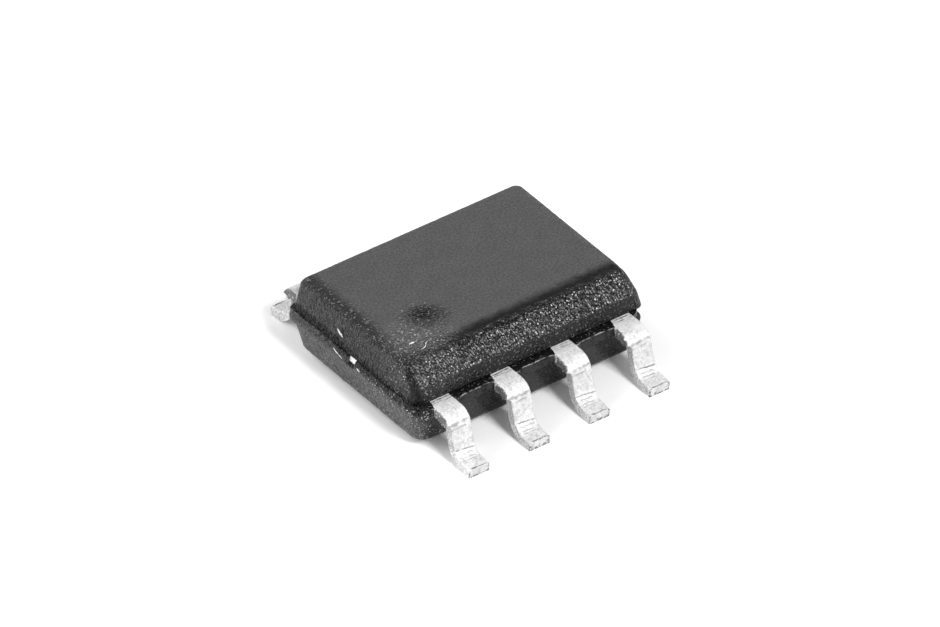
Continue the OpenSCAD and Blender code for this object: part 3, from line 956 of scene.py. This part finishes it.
# The ledge in front and the seam at the left end are darkened with painted shade further down
ledge = both(between(z, 0.94, 0.965, 1.005, 1.035), in_front)
seam_rise = ramp(resin, exact_y, -0.9, 0.8, 0.0, 0.085)
seam_z = calc(resin, "SUBTRACT", z, seam_rise)
seam = both(ramp(resin, x, -2.28, -2.34), between(seam_z, 0.87, 0.91, 1.03, 1.085))
print("nodes for the masks:", len(resin.node_tree.nodes))

# %% [markdown]
# The relief is a bump in the light only, because its grains are about as small as the mesh's faces.
# Each mask lets its own kind of noise through.

# %% Resin: relief
BUMP = 0.032 * MM
coarse = either(both(left_corner, 0.45), both(leather, 0.8), both(low_corner, 0.5), both(dimple, 0.8))
coarse = either(coarse, both(left_edge, 0.8), both(ledge, 0.6), both(seam, 0.6), both(under_chamfer, 0.5))
grains = mottle(resin, in_mm(resin, (27, 16, 16)), 1.0, 0.0)
pebbles = mottle(resin, place, 22.0, 0.0)
fine_grain = mottle(resin, place, 26.0, 2.0)
streaks = mottle(resin, in_mm(resin, (28, 30, 10)), 1.0, 2.0)
height = calc(resin, "ADD", both(grains, both(chamfer, 0.85)), both(pebbles, coarse))
height = calc(resin, "ADD", height, both(fine_grain, ramp(resin, top, 0, 1, 0.1, 0.12)))
height = calc(resin, "ADD", height, both(streaks, both(ends, 1.8)))
relief(resin, height, BUMP)

# %% Resin: gloss
level = ramp(resin, either(top, both(chamfer, 0.5), coarse), 0, 1, 0.25, 0.5)
subdued = either(left_edge, corner_line, both(upper_end, 0.8), both(ledge, 0.6), both(under_chamfer, 0.6))
level = weaken(weaken(level, seam, 0.3), subdued, 0.4)
surface(resin, "Specular IOR Level", level)
matt = both(top, ramp(resin, either(leather, dimple), 0, 0.6, 1.0, 0.3))
matt = either(matt, both(ends, 0.2), both(chamfer, 0.3))
surface(resin, "Roughness", ramp(resin, matt, 0, 1, 0.22, 0.5))

# %% [markdown]
# The colour is nearly black, and paler on the matt top. The sparkle of the chamfer, the threads on
# the worn corner and the spots of filler are pale paint in the colour. Real sparkle is gloss, but
# gloss this fine is lost among a render's noise, and as paint it stays where it is.

# %% Resin: ground colour, with painted shade
shade = ramp(resin, either(top, both(ends, 0.12)), 0, 1, 0.019, 0.0675)
shade = both(shade, ramp(resin, mottle(resin, place, 3.0, 4.0), 0.3, 0.7, 0.94, 1.06))
shade = both(shade, ramp(resin, fine_grain, 0.25, 0.75, 0.58, 1.42))
drawn = ramp(resin, both(ends, calc(resin, "SUBTRACT", streaks, 0.5)), -0.25, 0.25, 0.1, 1.9)
shade = both(shade, drawn)
# Painted shade: the bowl of the dimple, the seam, the ledge and the left and front edges of the top face
# are darkened for shade and the dim overhead that they reflect. The other masks just make the resin darker.
dark = either(dimple, seam, ledge, left_edge, corner_line, chamfer, both(leather, 0.55))
dark = either(dark, both(painted_front_edge_shade, 0.75), both(low_corner, 0.5), both(under_chamfer, 0.7))
shade = weaken(shade, dark, 0.33)
shade = calc(resin, "ADD", shade, both(low_end, drawn, 0.006))


# %% Resin: sparkle on the chamfer
def thin_lines(pattern, width):
    """Thin wriggling lines, where a pattern passes through its middle value."""
    away = calc(resin, "ABSOLUTE", calc(resin, "SUBTRACT", pattern, 0.5))
    return ramp(resin, away, width, width * 0.3)


points = add(resin, "TexVoronoi", Vector=in_mm(resin, (20, 18, 18)), Scale=1.0)
picked = add(resin, "SeparateXYZ", Vector=points.outputs["Color"]).outputs["X"]
glints = both(ramp(resin, points.outputs["Distance"], 0.34, 0.14), ramp(resin, picked, 0.35, 0.95))
threads = both(thin_lines(grains, 0.042), ramp(resin, pebbles, 0.43, 0.56))
sparkle = both(either(both(threads, 0.25), both(glints, 0.72)), chamfer)

# %% Resin: pale threads, spots, broken edge and the dimple's painted highlight
leathery = either(both(leather, 0.12), both(ends, 0.07), both(left_corner, 0.05), both(low_end, 0.07))
leathery = both(thin_lines(streaks, 0.045), leathery)
spotted = either(both(low_corner, 0.7), both(left_edge, 0.42), both(left_corner, 0.5), both(ledge, 0.2))
# The pale specks along the back edge of the dimple are a painted highlight
spotted = either(spotted, both(dimple, 0.35), both(leather, 0.6), both(painted_bowl_highlight, 0.7), both(low_end, 0.35))
spotted = either(spotted, both(under_chamfer, 0.2))
spots = both(ramp(resin, mottle(resin, place, 27.0, 0.0), 0.67, 0.75), spotted, 0.42)
broken = add(resin, "Attribute", {"attribute_name": "broken"}).outputs["Fac"]
broken_edge = both(broken, ramp(resin, ends, 0, 1, 0.4, 0.12))
light = either(sparkle, leathery, spots, broken_edge, both(painted_bowl_highlight, 0.012))
light = weaken(light, corner_line, 0.15)
surface(resin, "Base Color", calc(resin, "ADD", shade, light))
print("nodes in the resin:", len(resin.node_tree.nodes))

# %% [markdown]
# ### Tin
#
# Matt tin is plated on the whole frame after moulding. It is almost white, fine-grained and cloudy,
# drawn in streaks along the strip, and dull where a tool has pressed or torn it.

# %% Tin: patterns
tin = principled("matt_tin", (0.93, 0.93, 0.93), 0.5, 0.18)
flat = add(tin, "Attribute", {"attribute_name": "flat"}).outputs["Vector"]
marked = add(tin, "Attribute", {"attribute_name": "marked"}).outputs["Fac"]
tin_place = in_mm(tin)
crystals = mottle(tin, tin_place, 38.0, 2.0)
clouds = mottle(tin, tin_place, 6.0, 5.0)
stretched = add(tin, "Mapping", Vector=flat, Scale=(40, 7, 40)).outputs[0]
lines = mottle(tin, stretched, 1.0, 3.0)
tin_height = calc(tin, "ADD", calc(tin, "MULTIPLY", crystals, 0.6), calc(tin, "MULTIPLY", lines, 0.5))
relief(tin, tin_height, 0.008 * MM)
surface(tin, "Roughness", ramp(tin, clouds, 0.3, 0.7, 0.42, 0.62))


# %% Tin: colour
def dull_by(value, pattern, low, high, least):
    """Makes a value less where a pattern is strong, down to its least share."""
    return calc(tin, "MULTIPLY", value, ramp(tin, pattern, low, high, 1.0, least))


cloudy = calc(tin, "ADD", clouds, calc(tin, "MULTIPLY", lines, 0.25))
tone = ramp(tin, cloudy, 0.42, 0.75, 0.98, 0.81)
tone = dull_by(tone, crystals, 0.35, 0.7, 0.76)
tone = dull_by(tone, mottle(tin, tin_place, 15.0, 1.0), 0.5, 0.68, 0.84)
blank_place = add(tin, "SeparateXYZ", Vector=flat)
along = blank_place.outputs["Y"]
# Painted shade: the legs face the front lamp, and their colour is darkened so that they don't shine
# brighter than the top of the lead and the foot
leg = calc(tin, "MULTIPLY", ramp(tin, along, AT_LEG / MM - 0.1, AT_LEG / MM),
           ramp(tin, along, AT_FOOT_BEND / MM + 0.2, AT_FOOT_BEND / MM))
tone = dull_by(tone, leg, 0, 1, 0.82)
sides = ramp(tin, calc(tin, "ABSOLUTE", blank_place.outputs["X"]), 0.198, 0.208)
torn = calc(tin, "MULTIPLY", sides, ramp(tin, mottle(tin, tin_place, 34.0, 3.0), 0.4, 0.64))
tone = dull_by(tone, torn, 0, 1, 0.55)
surface(tin, "Base Color", dull_by(tone, marked, 0, 1, 0.2))
print("nodes in the tin:", len(tin.node_tree.nodes))

# %% [markdown]
# ### Bare metal, epoxy, silicon and gold
#
# These lie inside the block, apart from the ends of the tie bars and the slivers of flash. Sheared
# metal is streaked in the direction of the cut, and flash is a pale skin.

# %% Sheared metal and flash
sheared = principled("sheared_metal", (0.85, 0.85, 0.85), 0.3, 0.6)
cut = mottle(sheared, in_mm(sheared, (40, 60, 6)), 1.0, 3.0)
relief(sheared, cut, 0.006 * MM)
surface(sheared, "Base Color", ramp(sheared, cut, 0.3, 0.7, 0.75, 1.0))

skin = principled("flash_skin", (0.8, 0.8, 0.8), 0.35)
skin_noise = mottle(skin, in_mm(skin), 30.0, 2.0)
relief(skin, skin_noise, 0.006 * MM)
surface(skin, "Base Color", ramp(skin, skin_noise, 0.3, 0.7, 0.55, 0.9))

# %% [markdown]
# The inner pieces show only where the block is hidden or cut open. Silver epoxy is a grey paste full
# of flakes, the die is polished dark silicon, and bond wires are drawn gold.

# %% Inner pieces
paste = principled("silver_epoxy", (0.6, 0.6, 0.58), 0.45, 0.5)
flakes = mottle(paste, in_mm(paste), 60.0, 3.0)
relief(paste, flakes, 0.004 * MM)
surface(paste, "Roughness", ramp(paste, flakes, 0.3, 0.7, 0.35, 0.6))

wafer = principled("silicon", (0.14, 0.15, 0.18), 0.18, 0.3)
haze = mottle(wafer, in_mm(wafer), 4.0, 4.0)
surface(wafer, "Roughness", ramp(wafer, haze, 0.3, 0.7, 0.12, 0.3))

gold = principled("gold_wire", (0.93, 0.72, 0.3), 0.25, 1.0)
drawn_lines = mottle(gold, in_mm(gold, (60, 60, 8)), 1.0, 2.0)
surface(gold, "Roughness", ramp(gold, drawn_lines, 0.3, 0.7, 0.2, 0.38))
print("materials:", [material.name for material in (resin, tin, sheared, skin, paste, wafer, gold)])

# %% [markdown]
# ## Pieces and bodies
#
# Every piece rides on the one body of the part, and gets the material of the finish that it stands for.
# A finer piece replaces the imported one that it was made for. The slivers stand for no imported piece,
# and the inner pieces are the imported ones, which only get a finish.

# %% Pieces and bodies
def dress(piece, material, slot, *nodes):
    piece.data.materials.append(material)
    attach(piece, "root")
    if nodes:
        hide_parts(*nodes)


for piece in (upper, lower, rim):
    dress(piece, resin, "mould_resin", "moulded_body")
dress(flash, skin, "mould_resin")
dress(pad, sheared, "bare_copper", "die_pad")
for name, piece in leads.items():
    dress(piece, tin, "tin_plate", name)

finishes = {"die_attach": paste, "silicon_die": wafer}
finishes.update({"bond_wire_%d" % n: gold for n in range(1, LEADS + 1)})
for name, material in finishes.items():
    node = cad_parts[name]
    node.data.materials.clear()
    node.data.materials.append(material)
print("packed pieces with a finish:", len(finishes))

# %% [markdown]
# ## Camera
#
# A long lens from far away, over the front left corner, and turned a little about its own axis.

# %% Directions of the camera
YAW, ELEVATION, ROLL = math.radians(-33.369), math.radians(36.475), math.radians(-2.625)
level_in = math.cos(ELEVATION)
back = Vector((math.sin(YAW) * level_in, -math.cos(YAW) * level_in, math.sin(ELEVATION)))
sideways = Vector((math.cos(YAW), math.sin(YAW), 0))
upright = back.cross(sideways)
right = math.cos(ROLL) * sideways + math.sin(ROLL) * upright
up = math.cos(ROLL) * upright - math.sin(ROLL) * sideways

# %% Camera
DISTANCE = 342.987 * MM
# How far to the right of the origin and above it the camera aims, as the camera sees it
AIM_RIGHT = 0.002 * MM
AIM_UP = 0.664 * MM
SENSOR = 36
LENS = 756.8
camera_data = bpy.data.cameras.new("camera")
camera = bpy.data.objects.new("camera", camera_data)
bpy.context.scene.collection.objects.link(camera)
stand = DISTANCE * back + AIM_RIGHT * right + AIM_UP * up
camera.matrix_world = Matrix.Translation(stand) @ Matrix((right, up, back)).transposed().to_4x4()
camera_data.sensor_width = SENSOR
camera_data.lens = LENS
camera_data.clip_start = 0.01
camera_data.clip_end = 10
bpy.context.scene.camera = camera
print("camera stands at, in mm:", [round(v / MM, 1) for v in stand])

# %% [markdown]
# ## Light and floor
#
# The chip stands on white paper in a white tent, which is bright low down and dim overhead. One
# lamp straight in front gives the light on the chamfer and the shadows of the legs, and a wide one
# from the back left lights the far side. To the camera, and in reflections, the paper is brighter
# than white, so that only the shade close to the chip shows on it. Its light on the chip stays plain.

# %% World
scene = bpy.context.scene
scene.view_settings.view_transform = "Standard"
world = bpy.data.worlds.new("studio")
scene.world = world
world.use_nodes = True
tree = world.node_tree
direction = tree.nodes.new("ShaderNodeTexCoord")
upness = tree.nodes.new("ShaderNodeSeparateXYZ")
tent = tree.nodes.new("ShaderNodeMapRange")
tree.links.new(direction.outputs["Generated"], upness.inputs[0])
tree.links.new(upness.outputs["Z"], tent.inputs["Value"])
tent.interpolation_type = "SMOOTHSTEP"
for key, value in (("From Min", 0.45), ("From Max", 0.85), ("To Min", 0.75), ("To Max", 0.12)):
    tent.inputs[key].default_value = value
tree.links.new(tent.outputs[0], tree.nodes["Background"].inputs["Strength"])
tree.nodes["Background"].inputs["Color"].default_value = (1, 1, 1, 1)
print("tent:", tent.inputs["To Min"].default_value, "low down,", tent.inputs["To Max"].default_value,
      "overhead")


# %% Lamps
def lamp(name, strength, spread, towards):
    data = bpy.data.lights.new(name, "SUN")
    data.energy = strength
    data.angle = math.radians(spread)
    made = bpy.data.objects.new(name, data)
    made.rotation_euler = Vector(towards).to_track_quat("Z", "Y").to_euler()
    scene.collection.objects.link(made)
    print(name, "lamp: strength", strength, "and", spread, "degrees wide")


lamp("front", strength=2.4, spread=16, towards=(0, -0.73, 0.68))
lamp("behind", strength=1.75, spread=55, towards=(-0.62, 0.52, 0.58))

# %% Floor
FLOOR_REACH = 0.5
PAPER = 0.85
SEEN_PAPER = 1.18
bm = bmesh.new()
bmesh.ops.create_grid(bm, x_segments=1, y_segments=1, size=FLOOR_REACH)
floor = finish_mesh(bm, "floor")
paper = principled("paper", (PAPER, PAPER, PAPER), 0.9)
rays = add(paper, "LightPath")
seen = calc(paper, "MAXIMUM", rays.outputs["Is Camera Ray"], rays.outputs["Is Glossy Ray"])
seen = calc(paper, "MAXIMUM", seen, rays.outputs["Is Transmission Ray"])
surface(paper, "Base Color", ramp(paper, seen, 0, 1, PAPER, SEEN_PAPER))
floor.data.materials.append(paper)
